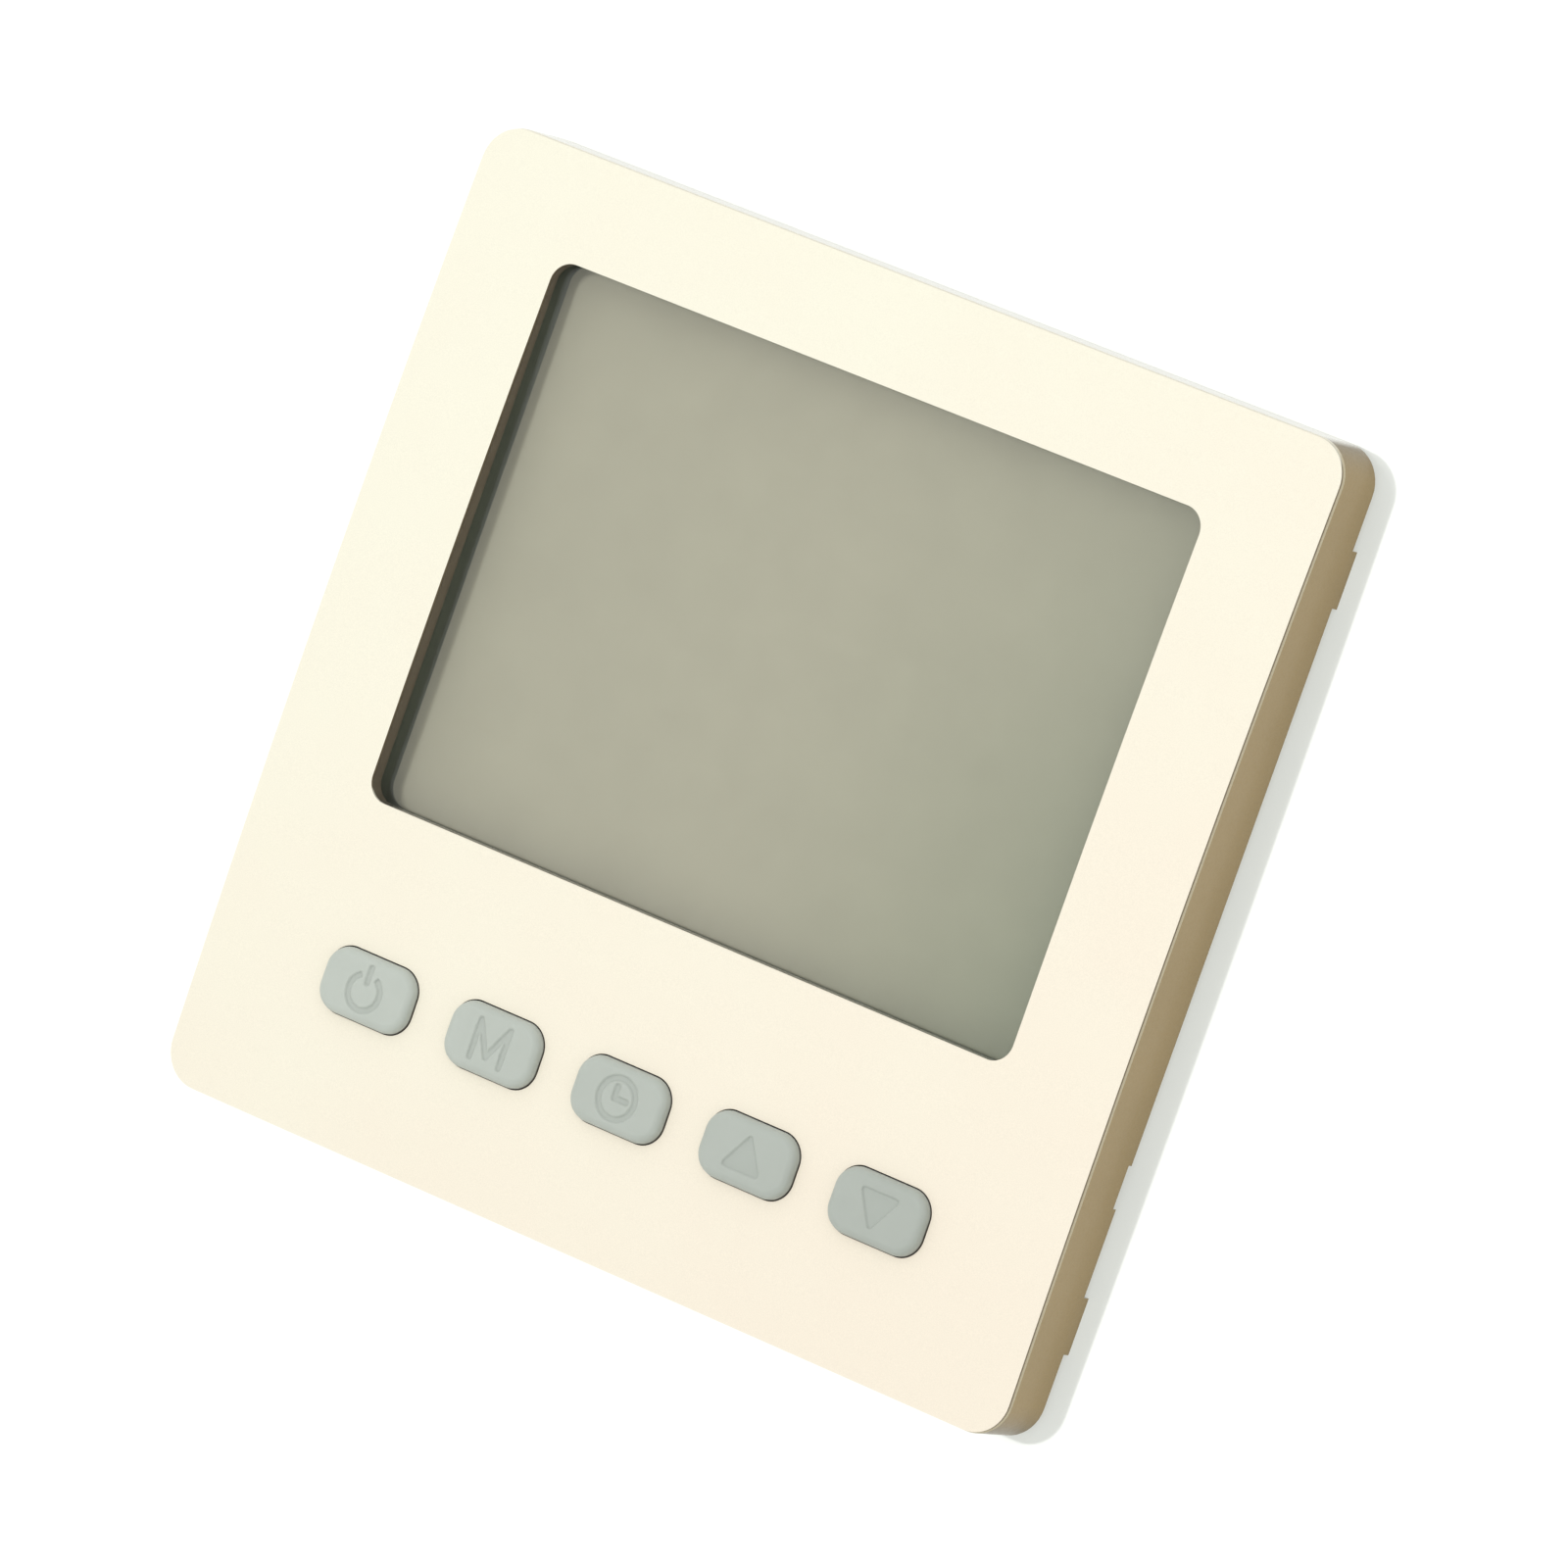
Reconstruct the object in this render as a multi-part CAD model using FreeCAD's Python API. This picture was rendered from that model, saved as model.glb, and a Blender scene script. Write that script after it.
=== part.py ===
# Wall-mounted programmable heating timer, 86 mm square.
# Modelled with x to the right, y up and z out of the wall, wall surface at z = 0.
# save() turns every piece so that the front faces -Y and up is +Z, origin in the
# middle of the wall side of the steel mounting plate.

import math
import os
import FreeCAD
import Part

os.makedirs("parts", exist_ok=True)

# ---- outline and front -------------------------------------------------------
case_side = 86.0
case_corner_r = 3.4
front_apex_z = 7.8           # middle of the arched front
front_arch_r = 975.0         # the front is curved in height only
panel_inset = 0.08           # panel edge inside the shell's side
panel_thickness = 0.25
adhesive_thickness = 0.1
adhesive_inset = 0.3
shell_chamfer = 0.15
floor_thickness = 1.75
wall_thickness = 1.8
shell_rear_z = 0.85
foot_length = 4.95
foot_y = 32.4
notch_y = -20.3
notch_length = 3.8
notch_height = 0.5

window_width = 65.2
window_height = 48.0
window_y = 9.9
window_corner_r = 1.9

key_count_each_side = 2
key_pitch = 13.05
key_y = -29.1
key_hole_width = 9.3
key_hole_height = 6.0
key_hole_r = 2.2
key_gap = 0.12
key_proud = 1.0
key_edge_r = 0.6
key_travel = 1.0
legend_width = 0.42
legend_depth = 0.12

# ---- layers behind the front --------------------------------------------------
lcd_seat_z = 6.15
polariser_thickness = 0.2
glass_thickness = 1.0
guide_thickness = 0.55
reflector_thickness = 0.1
led_height = 0.5
board_front_z = 3.1
board_thickness = 1.2
board_half = 40.6
lcd_half_x = 34.3
lcd_top = 35.7
lcd_bottom = -17.4
rear_glass_bottom = -15.2
holder_half_x = 35.65
holder_top = 37.0
holder_bottom = -18.6
holder_front_z = 4.95
guide_half_x = 33.2

mat_thickness = 0.8
mat_half_x = 33.5
mat_half_y = 8.05
flange_half_x = 5.15
flange_half_y = 3.5
flange_front_z = 5.1
pill_r = 1.6
pill_thickness = 0.3

board_screw_spots = [(sx * 38.2, y) for sx in (-1, 1) for y in (38.6, -17.0, -39.0)]
board_screw_r = 0.85
board_screw_head_r = 1.9
board_screw_head_height = 0.8
boss_r = 2.0
vent_x = (18.0, 22.0, 26.0, 30.0, 34.0)
vent_length = 2.0

# ---- wall plate and rear box ---------------------------------------------------
plate_thickness = 1.0
plate_half_x = 35.8
plate_half_y = 35.0
plate_window_x = 20.5
plate_window_y = 20.0
wall_screw_spacing = 60.0
slot_length = 8.0
slot_width = 4.4
lug_width = 6.0
lug_outer_x = 40.7
lug_top_z = 4.0
plate_screw_spots = [(sx * 21.6, sy * 24.6) for sx in (-1, 1) for sy in (-1, 1)]
plate_screw_r = 1.25
plate_screw_head_r = 2.25
plate_screw_tip_z = -7.0

box_half_x = 25.0
box_half_y = 28.0
box_depth = 27.0
box_wall = 1.6
box_corner_r = 3.0
box_edge_r = 1.2
step_y = -17.3               # the terminal block stands below this height
power_board_z = -8.0         # front face of the power board
power_board_thickness = 1.6
power_board_half_x = 23.2
power_board_half_y = 26.2
power_rear_z = power_board_z - power_board_thickness
power_screw_spots = [(sx * 20.4, 1.0) for sx in (-1, 1)]
power_screw_r = 0.95
power_screw_length = 5.0
rear_vent_pitch = 4.0
rear_vent_width = 1.6
relay_half_x = 14.5
relay_half_y = 6.35
relay_y = 19.25
relay_height = 15.5

# ---- terminals -----------------------------------------------------------------
ways = 6
way_pitch = 7.5
block_half_x = 22.5
block_y0 = -27.5
block_y1 = -17.5
block_height = 12.5
cage_y = -22.9
cage_width = 5.4
cage_depth = 5.0
cage_height = 6.0
cage_wall = 0.9
cage_rest = 0.9
cage_travel = 2.4
bar_low = 5.1
bar_high = 6.0
screw_shank_r = 1.5
screw_head_r = 2.2
thread_clearance = 0.03
ledge_low = 9.4
ledge_high = 10.0
head_height = 1.5


def box(x0, x1, y0, y1, z0, z1):
    return Part.makeBox(x1 - x0, y1 - y0, z1 - z0, FreeCAD.Vector(x0, y0, z0))


def block(cx, cy, wx, wy, z0, z1):
    return box(cx - wx / 2, cx + wx / 2, cy - wy / 2, cy + wy / 2, z0, z1)


def cyl(x, y, r, z0, z1):
    return Part.makeCylinder(r, z1 - z0, FreeCAD.Vector(x, y, z0))


def rod(start, end, r):
    a = FreeCAD.Vector(*start)
    b = FreeCAD.Vector(*end)
    return Part.makeCylinder(r, (b - a).Length, a, b - a)


def prism(cx, cy, half_x, half_y, r, z0, z1):
    """Rounded rectangle, corner radius r, standing from z0 to z1."""
    body = box(cx - half_x, cx + half_x, cy - half_y, cy + half_y, z0, z1)
    uprights = [e for e in body.Edges if abs(e.Vertexes[0].Z - e.Vertexes[-1].Z) > 1e-6]
    return body.makeFillet(r, uprights)


def arch_z(y, drop=0.0):
    return front_apex_z - drop - front_arch_r + math.sqrt(front_arch_r ** 2 - y ** 2)


def under_arch(drop):
    """Everything behind the arched front surface moved back by drop."""
    reach = case_side / 2 + 1.0
    low = -1.0
    a = FreeCAD.Vector(-reach, -reach, arch_z(reach, drop))
    m = FreeCAD.Vector(-reach, 0, arch_z(0, drop))
    b = FreeCAD.Vector(-reach, reach, arch_z(reach, drop))
    c = FreeCAD.Vector(-reach, reach, low)
    d = FreeCAD.Vector(-reach, -reach, low)
    edges = [Part.Arc(a, m, b).toShape(), Part.makeLine(b, c), Part.makeLine(c, d)]
    edges.append(Part.makeLine(d, a))
    return Part.Face(Part.Wire(edges)).extrude(FreeCAD.Vector(2 * reach, 0, 0))


def fuse_all(shapes):
    return shapes[0].multiFuse(shapes[1:]).removeSplitter()


def save(name, shape):
    turned = shape.copy()
    turned.rotate(FreeCAD.Vector(0, 0, 0), FreeCAD.Vector(1, 0, 0), 90)
    turned.exportStep("parts/" + name + ".step")


# ---- openings shared by the front layers ----------------------------------------
half = case_side / 2
key_spots = [i * key_pitch for i in range(-key_count_each_side, key_count_each_side + 1)]


def window_cut(grow, z0, z1):
    return prism(0, window_y, window_width / 2 + grow, window_height / 2 + grow,
                 window_corner_r + grow, z0, z1)


def key_cuts(grow, z0, z1):
    return [prism(x, key_y, key_hole_width / 2 + grow, key_hole_height / 2 + grow,
                  key_hole_r + grow, z0, z1) for x in key_spots]


# ---- front panel: arched cover sheet bonded over the whole front of the shell ------
floor_drop = panel_thickness + adhesive_thickness
floor_rear_drop = floor_drop + floor_thickness


def arched_layer(inset, drop, rear_drop, growth):
    """Layer that follows the arched front, with the window and key openings."""
    layer = prism(0, 0, half - inset, half - inset, case_corner_r - inset, 0, 10)
    layer = layer.common(under_arch(drop)).cut(under_arch(rear_drop))
    return layer.cut([window_cut(growth, 0, 10)] + key_cuts(growth, 0, 10))


save("front_panel", arched_layer(panel_inset, 0, panel_thickness, 0))
save("panel_adhesive", arched_layer(panel_inset + adhesive_inset, panel_thickness,
                                    floor_drop, adhesive_inset))

# ---- front shell -----------------------------------------------------------------
outside = prism(0, 0, half, half, case_corner_r, shell_rear_z, 10).common(under_arch(floor_drop))
front_edges = [e for e in outside.Edges if e.BoundBox.ZMin > 6.0]
outside = outside.makeChamfer(shell_chamfer, front_edges)
feet = []
for side in (-1, 1):
    for y in (-foot_y, foot_y):
        x_mid = side * (half - wall_thickness / 2)
        feet.append(block(x_mid, y, wall_thickness, foot_length, 0, shell_rear_z + 0.5))
hollow = prism(0, 0, half - wall_thickness, half - wall_thickness,
               case_corner_r - wall_thickness, 0, 10).common(under_arch(floor_rear_drop))
shell = fuse_all([outside] + feet).cut(hollow)

bosses = [cyl(x, y, boss_r, board_front_z, arch_z(y, floor_rear_drop) + 0.3)
          for x, y in board_screw_spots]
rib_outer = prism(0, key_y, 33.0, 7.7, 1.5, board_front_z + mat_thickness, 6.0)
rib_inner = prism(0, key_y, 32.0, 6.7, 0.8, 0, 10)
rib = rib_outer.cut(rib_inner).common(under_arch(floor_rear_drop - 0.3))
shell = fuse_all([shell, rib] + bosses)

lcd_cy = (lcd_top + lcd_bottom) / 2
lcd_half_y = (lcd_top - lcd_bottom) / 2
seat = prism(0, lcd_cy, lcd_half_x + 0.3, lcd_half_y + 0.3, 0.5, 0, lcd_seat_z)
screw_bores = [cyl(x, y, board_screw_r, board_front_z - 1, board_front_z + 2.0)
               for x, y in board_screw_spots]
pry_notch = box(half - 1.2, half + 1, notch_y - notch_length / 2, notch_y + notch_length / 2,
                shell_rear_z - 1, shell_rear_z + notch_height)
vents = [block(x, -half + 0.9, vent_length, 2.4, 1.8, 3.3) for x in vent_x]
cuts = [window_cut(0, 0, 10), seat, pry_notch] + key_cuts(0, 0, 10) + screw_bores + vents
shell = shell.cut(cuts)
save("front_shell", shell)

# ---- display stack ----------------------------------------------------------------
front_glass_z = lcd_seat_z - polariser_thickness
rear_glass_z = front_glass_z - glass_thickness
rear_polariser_z = rear_glass_z - glass_thickness
guide_z = rear_polariser_z - polariser_thickness
reflector_z = guide_z - guide_thickness


def plate_between(half_x, y0, y1, z_top, thickness):
    return box(-half_x, half_x, y0, y1, z_top - thickness, z_top)


sheet_x = guide_half_x
sheet_y0 = rear_glass_bottom + 1.0
sheet_y1 = lcd_top - 1.1
save("lcd_front_polariser",
     plate_between(lcd_half_x - 0.5, lcd_bottom + 2.0, lcd_top - 0.5, lcd_seat_z,
                   polariser_thickness))
save("lcd_front_glass",
     plate_between(lcd_half_x, lcd_bottom, lcd_top, front_glass_z, glass_thickness))
save("lcd_rear_glass",
     plate_between(lcd_half_x, rear_glass_bottom, lcd_top, rear_glass_z, glass_thickness))
save("lcd_rear_polariser",
     plate_between(sheet_x, sheet_y0, sheet_y1, rear_polariser_z, polariser_thickness))
save("backlight_guide",
     plate_between(sheet_x, sheet_y0, sheet_y1, guide_z, guide_thickness))
save("backlight_reflector",
     plate_between(sheet_x, sheet_y0, sheet_y1, reflector_z, reflector_thickness))

led_y = [window_y - 15.0, window_y, window_y + 15.0]
leds = [block(sheet_x + 0.7, y, 1.2, 3.2, board_front_z, board_front_z + led_height)
        for y in led_y]
save("backlight_leds", Part.makeCompound(leds))

zebra_y0 = lcd_bottom + 0.3
zebra_y1 = rear_glass_bottom - 0.5
save("zebra_strip", box(-31.0, 31.0, zebra_y0, zebra_y1, board_front_z, rear_glass_z))

holder = box(-holder_half_x, holder_half_x, holder_bottom, holder_top,
             board_front_z, holder_front_z)
glass_pocket = box(-lcd_half_x - 0.1, lcd_half_x + 0.1, lcd_bottom - 0.1, lcd_top + 0.1,
                   rear_polariser_z, 8)
light_pocket = box(-sheet_x - 0.1, sheet_x + 0.1, sheet_y0 - 0.1, sheet_y1 + 0.1, 0, 8)
zebra_pocket = box(-31.2, 31.2, zebra_y0 - 0.1, zebra_y1 + 0.1, 0, 8)
led_pockets = [block(sheet_x + 0.75, y, 1.5, 3.6, 0, board_front_z + led_height + 0.1)
               for y in led_y]
holder = holder.cut([glass_pocket, light_pocket, zebra_pocket] + led_pockets)
save("lcd_holder", holder)

# ---- keypad -----------------------------------------------------------------------
mat_top = board_front_z + mat_thickness
mat = prism(0, key_y, mat_half_x, mat_half_y, 1.5, board_front_z, mat_top)
mat_holes = [prism(x, key_y, flange_half_x + 0.15, flange_half_y + 0.2, 2.4, 0, 10)
             for x in key_spots]
save("keypad_mat", mat.cut(mat_holes))

key_top = arch_z(key_y) + key_proud
pill_rear = board_front_z + key_travel
key_rear = pill_rear + pill_thickness


def stroke(cx, x0, y0, x1, y1):
    """Straight engraved stroke with round ends."""
    length = math.hypot(x1 - x0, y1 - y0)
    low = key_top - legend_depth
    bar = box(0, length, -legend_width / 2, legend_width / 2, low, key_top + 1)
    bar.rotate(FreeCAD.Vector(0, 0, 0), FreeCAD.Vector(0, 0, 1),
               math.degrees(math.atan2(y1 - y0, x1 - x0)))
    bar.translate(FreeCAD.Vector(cx + x0, key_y + y0, 0))
    ends = [cyl(cx + x, key_y + y, legend_width / 2, low, key_top + 1)
            for x, y in ((x0, y0), (x1, y1))]
    return fuse_all([bar] + ends)


def ring(cx, cy, r):
    low = key_top - legend_depth
    outer = cyl(cx, key_y + cy, r + legend_width / 2, low, key_top + 1)
    return outer.cut(cyl(cx, key_y + cy, r - legend_width / 2, low - 1, key_top + 2))


def legend_power(x):
    gap = block(x, key_y + 1.5, 1.5, 2.0, 0, 20)
    return fuse_all([ring(x, -0.25, 1.55).cut(gap), stroke(x, 0, 0.6, 0, 1.9)])


def legend_mode(x):
    points = [(-1.45, -1.6), (-1.45, 1.6), (0, -1.3), (1.45, 1.6), (1.45, -1.6)]
    return fuse_all([stroke(x, *points[i], *points[i + 1]) for i in range(4)])


def legend_clock(x):
    return fuse_all([ring(x, 0, 1.75), stroke(x, -0.25, 0, -0.25, 1.0), stroke(x, -0.25, 0, 0.95, 0)])


def legend_triangle(x, way):
    """Recessed solid triangle, pointing up for way = 1 and down for way = -1."""
    points = [(-1.55, -1.3 * way), (0, 1.3 * way), (1.55, -1.3 * way)]
    low = key_top - legend_depth
    corners = [FreeCAD.Vector(x + px, key_y + py, low) for px, py in points]
    inside = Part.Face(Part.makePolygon(corners + corners[:1])).extrude(FreeCAD.Vector(0, 0, 1))
    return fuse_all([inside] + [stroke(x, *points[i], *points[(i + 1) % 3]) for i in range(3)])


legends = [
    ("key_power", legend_power(key_spots[0])),
    ("key_mode", legend_mode(key_spots[1])),
    ("key_clock", legend_clock(key_spots[2])),
    ("key_up", legend_triangle(key_spots[3], 1)),
    ("key_down", legend_triangle(key_spots[4], -1)),
]
for x, (name, legend) in zip(key_spots, legends):
    cap = prism(x, key_y, key_hole_width / 2 - key_gap, key_hole_height / 2 - key_gap,
                key_hole_r - key_gap, key_rear, key_top)
    top_edges = [e for e in cap.Edges if e.BoundBox.ZMin > key_top - 0.01]
    cap = cap.makeFillet(key_edge_r, top_edges)
    flange = prism(x, key_y, flange_half_x, flange_half_y, 2.2, key_rear, flange_front_z)
    save(name, fuse_all([cap, flange]).cut(legend))
    save(name.replace("key_", "pill_"), cyl(x, key_y, pill_r, pill_rear, key_rear))

# ---- display board and what it carries ----------------------------------------------
board_rear_z = board_front_z - board_thickness
link_y = 14.0
link_pins = 7
link_pitch = 2.54
pin_side = 0.64
pin_rear_z = -6.5
header_height = 2.5
pin_x = [(i - (link_pins - 1) / 2) * link_pitch for i in range(link_pins)]

display_board = prism(0, 0, board_half, board_half, 1.5, board_rear_z, board_front_z)
board_cuts = [cyl(sx * wall_screw_spacing / 2, 0, 4.5, 0, 5) for sx in (-1, 1)]
board_cuts += [cyl(x, y, 1.1, 0, 5) for x, y in board_screw_spots]
board_cuts += [cyl(x, link_y, 0.5, 0, 5) for x in pin_x]
for side in (-1, 1):
    for y in (-foot_y, foot_y):
        board_cuts.append(block(side * board_half, y, 2.6, lug_width + 1.2, 0, 5))
save("display_board", display_board.cut(board_cuts))

board_screws = []
for x, y in board_screw_spots:
    head = cyl(x, y, board_screw_head_r, board_rear_z - board_screw_head_height, board_rear_z)
    shank = cyl(x, y, board_screw_r, board_rear_z - 0.4, board_front_z + 1.8)
    drive = fuse_all([block(x, y, 1.8, 0.45, 0, board_rear_z - 0.4),
                      block(x, y, 0.45, 1.8, 0, board_rear_z - 0.4)])
    board_screws.append(fuse_all([head, shank]).cut(drive))
save("display_board_screws", Part.makeCompound(board_screws))

chip_x = -12.0
chip_y = -5.0
chip_side = 10.0
chip = [block(chip_x, chip_y, chip_side, chip_side, board_rear_z - 1.5, board_rear_z - 0.1)]
for i in range(11):
    at = (i - 5) * 0.8
    for s in (-1, 1):
        edge = s * (chip_side / 2 + 0.5)
        chip.append(block(chip_x + edge, chip_y + at, 1.2, 0.35, board_rear_z - 0.6, board_rear_z))
        chip.append(block(chip_x + at, chip_y + edge, 0.35, 1.2, board_rear_z - 0.6, board_rear_z))
save("controller_chip", fuse_all(chip))

cell_x = 8.0
cell_y = -6.5
cell_r = 10.0
cell_thickness = 3.2
cell_front_z = board_rear_z - 0.8
save("backup_cell", cyl(cell_x, cell_y, cell_r, cell_front_z - cell_thickness, cell_front_z))
cup = cyl(cell_x, cell_y, cell_r + 1.1, cell_front_z - 2.6, board_rear_z)
cup = cup.cut(cyl(cell_x, cell_y, cell_r + 0.15, -9, cell_front_z))
cup = cup.cut([block(cell_x, cell_y + s * cell_r, 9.0, 6.0, -9, cell_front_z) for s in (-1, 1)])
save("cell_holder", cup)

save("clock_crystal", rod((-16.5, 5.0, board_rear_z - 1.0), (-10.5, 5.0, board_rear_z - 1.0), 1.0))

small = []
for i in range(5):
    small.append(block(-16.0 + 3.2 * i, 9.0, 1.6, 0.8, board_rear_z - 0.6, board_rear_z))
    small.append(block(-16.0 + 3.2 * i, -15.5, 1.6, 0.8, board_rear_z - 0.6, board_rear_z))
small.append(block(-14.5, 14.0, 5.0, 4.0, board_rear_z - 1.4, board_rear_z))
small.append(block(14.5, 14.0, 5.0, 4.0, board_rear_z - 1.4, board_rear_z))
small.append(block(13.0, 8.5, 3.0, 2.5, board_rear_z - 1.1, board_rear_z))
save("display_board_parts", Part.makeCompound(small))

sensor_x = 26.0
sensor_y = -39.0
sensor_z = 4.05
sensor = [rod((sensor_x - 1.1, sensor_y, sensor_z), (sensor_x + 1.1, sensor_y, sensor_z), 0.75)]
for s in (-1, 1):
    sensor.append(block(sensor_x + s * 1.5, sensor_y, 1.2, 0.5, board_front_z, sensor_z + 0.2))
save("room_sensor", fuse_all(sensor))

pin_block = block(0, link_y, link_pins * link_pitch, 2.5, board_rear_z - header_height,
                  board_rear_z)
pin_slots = [block(x, link_y, pin_side, pin_side, -9, 5) for x in pin_x]
save("link_pin_block", pin_block.cut(pin_slots))
save("link_pins", Part.makeCompound([block(x, link_y, pin_side, pin_side, pin_rear_z,
                                           board_front_z) for x in pin_x]))

# ---- steel mounting plate ---------------------------------------------------------------
plate = prism(0, 0, plate_half_x, plate_half_y, 2.0, 0, plate_thickness)
lugs = []
for side in (-1, 1):
    for y in (-foot_y, foot_y):
        x_in = side * (plate_half_x - 3.0)
        x_out = side * lug_outer_x
        tongue_y0 = y - lug_width / 2
        tongue_y1 = y + lug_width / 2
        lugs.append(box(min(x_in, x_out), max(x_in, x_out), tongue_y0, tongue_y1,
                        0, plate_thickness))
        x_turn = side * (lug_outer_x - 1.0)
        lugs.append(box(min(x_turn, x_out), max(x_turn, x_out), tongue_y0, tongue_y1,
                        0, lug_top_z))
plate = fuse_all([plate] + lugs)
plate_cuts = [prism(0, 0, plate_window_x, plate_window_y, 2.0, -1, 3)]
for side in (-1, 1):
    plate_cuts.append(prism(side * wall_screw_spacing / 2, 0, slot_length / 2,
                            slot_width / 2, slot_width / 2 - 0.001, -1, 3))
for x, y in plate_screw_spots:
    plate_cuts.append(Part.makeCone(plate_screw_r + 0.05, plate_screw_head_r + 0.05,
                                    plate_thickness, FreeCAD.Vector(x, y, 0)))
save("mounting_plate", plate.cut(plate_cuts))

plate_screws = []
for x, y in plate_screw_spots:
    head = Part.makeCone(plate_screw_r, plate_screw_head_r, plate_thickness,
                         FreeCAD.Vector(x, y, 0))
    shank = cyl(x, y, plate_screw_r, plate_screw_tip_z, 0)
    drive = fuse_all([block(x, y, 2.6, 0.6, 0.4, 2), block(x, y, 0.6, 2.6, 0.4, 2)])
    plate_screws.append(fuse_all([head, shank]).cut(drive))
save("plate_screws", Part.makeCompound(plate_screws))

# ---- rear box -------------------------------------------------------------------------
inner_x = box_half_x - box_wall
inner_y = box_half_y - box_wall
rear_z = -box_depth
hull = prism(0, 0, box_half_x, box_half_y, box_corner_r, rear_z, 0)
hull = hull.makeFillet(box_edge_r, [e for e in hull.Edges if e.BoundBox.ZMax < rear_z + 0.01])
cavity = prism(0, 0, inner_x, inner_y, box_corner_r - box_wall, rear_z + box_wall, 1)
rear = hull.cut(cavity)
front_of_step = power_rear_z + 0.1
rear = rear.cut(box(-inner_x, inner_x, -40, step_y, rear_z - 1, front_of_step))
rear = rear.cut(box(-40, 40, -40, step_y, rear_z - 1, rear_z + 6.0))
cross_wall = box(-inner_x - 0.5, inner_x + 0.5, step_y, step_y + box_wall, rear_z + 0.5,
                 power_rear_z)
post = 5.0
shelf = 7.0
posts = []
for side in (-1, 1):
    x_wall = side * (inner_x + 0.5)
    x_post = side * (inner_x - post)
    x_shelf = side * (inner_x - shelf)
    posts.append(box(min(x_wall, x_post), max(x_wall, x_post), inner_y - post, inner_y + 0.5,
                     rear_z + 0.5, 0))
    posts.append(box(min(x_wall, x_shelf), max(x_wall, x_shelf), inner_y - shelf,
                     inner_y + 0.5, rear_z + 0.5, power_rear_z))
    posts.append(box(min(x_wall, x_post), max(x_wall, x_post), -inner_y - 0.5,
                     -inner_y + post, front_of_step, 0))
board_bosses = [cyl(x, y, 2.4, rear_z + 0.5, power_rear_z) for x, y in power_screw_spots]
rear = fuse_all([rear, cross_wall] + posts + board_bosses).common(hull)
box_cuts = [cyl(x, y, plate_screw_r, plate_screw_tip_z, 1) for x, y in plate_screw_spots]
box_cuts += [cyl(x, y, power_screw_r, power_rear_z - power_screw_length - 0.2, 0)
             for x, y in power_screw_spots]
for i in range(-3, 4):
    x = i * rear_vent_pitch
    box_cuts.append(block(x, box_half_y, rear_vent_width, 6.0, rear_z + 5.0, rear_z + 14.0))
    box_cuts.append(block(x, 4.0, rear_vent_width, 14.0, rear_z - 1, rear_z + 3.0))
label_recess = prism(0, 19.0, 19.0, 5.5, 1.0, rear_z - 1, rear_z + 0.3)
save("rear_housing", rear.cut(box_cuts + [label_recess]))

# ---- power board ------------------------------------------------------------------------
power_board = box(-power_board_half_x, power_board_half_x, -power_board_half_y,
                  power_board_half_y, power_rear_z, power_board_z)
board_notches = []
for side in (-1, 1):
    for up in (-1, 1):
        board_notches.append(block(side * inner_x, up * inner_y, 2 * post + 0.6,
                                   2 * post + 0.6, -12, 0))
board_notches += [cyl(x, y, power_screw_r + 0.25, -12, 0) for x, y in power_screw_spots]
way_x = [(i - (ways - 1) / 2) * way_pitch for i in range(ways)]
contact_y = -19.1
board_notches += [block(x, contact_y, 1.3, 0.9, -12, 0) for x in way_x]
save("power_board", power_board.cut(board_notches))

power_screws = []
for x, y in power_screw_spots:
    head = cyl(x, y, 2.1, power_board_z, power_board_z + 1.5)
    shank = cyl(x, y, power_screw_r, power_rear_z - power_screw_length, power_board_z + 0.5)
    drive = fuse_all([block(x, y, 2.4, 0.5, power_board_z + 0.8, 0),
                      block(x, y, 0.5, 2.4, power_board_z + 0.8, 0)])
    power_screws.append(fuse_all([head, shank]).cut(drive))
save("power_board_screws", Part.makeCompound(power_screws))

socket = block(0, link_y, link_pins * link_pitch + 0.6, 3.4, power_board_z, -2.0)
socket = socket.cut([block(x, link_y, 0.9, 0.9, pin_rear_z - 0.6, 0) for x in pin_x])
save("link_socket", socket)


def down(depth):
    """Height measured back from the rear face of the power board."""
    return power_rear_z - depth


relay = prism(0, relay_y, relay_half_x, relay_half_y, 0.5, down(relay_height), down(0.3))
relay_feet = [block(x, relay_y + sy * 4.65, 2.0, 1.2, down(0.4), down(0))
              for x in (-12.5, 0, 12.5) for sy in (-1, 1)]
save("relay", fuse_all([relay] + relay_feet))

tx_x = -11.0
tx_y = 5.0
core = block(tx_x, tx_y, 12.0, 10.0, down(8.0), down(2.0))
core_window = fuse_all([block(tx_x + s * 3.4, tx_y, 2.2, 20, down(6.5), down(3.5))
                        for s in (-1, 1)] + [block(tx_x, tx_y, 8.9, 7.0, down(5.2), down(5.0))])
coil = cyl(tx_x, tx_y, 4.0, down(8.8), down(1.0))
base = block(tx_x, tx_y, 12.0, 11.0, down(1.6), down(0))
cap_plate = block(tx_x, tx_y, 9.0, 9.0, down(9.6), down(8.8))
save("transformer", fuse_all([core.cut(core_window), coil, base, cap_plate,
                              block(tx_x, tx_y, 4.0, 4.0, down(9.0), down(1.0))]))

save("mains_capacitor", fuse_all([prism(9.5, 8.6, 6.5, 3.0, 0.5, down(12.0), down(0.5)),
                                  block(4.8, 8.6, 0.8, 0.8, down(0.6), down(0)),
                                  block(14.2, 8.6, 0.8, 0.8, down(0.6), down(0))]))

can = cyl(0, -8.5, 4.0, down(11.5), down(0))
can_top = [e for e in can.Edges if e.BoundBox.ZMax < down(11.4) and e.BoundBox.DiagonalLength > 5]
save("smoothing_capacitor", can.makeFillet(0.5, can_top[:1]))

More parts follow.
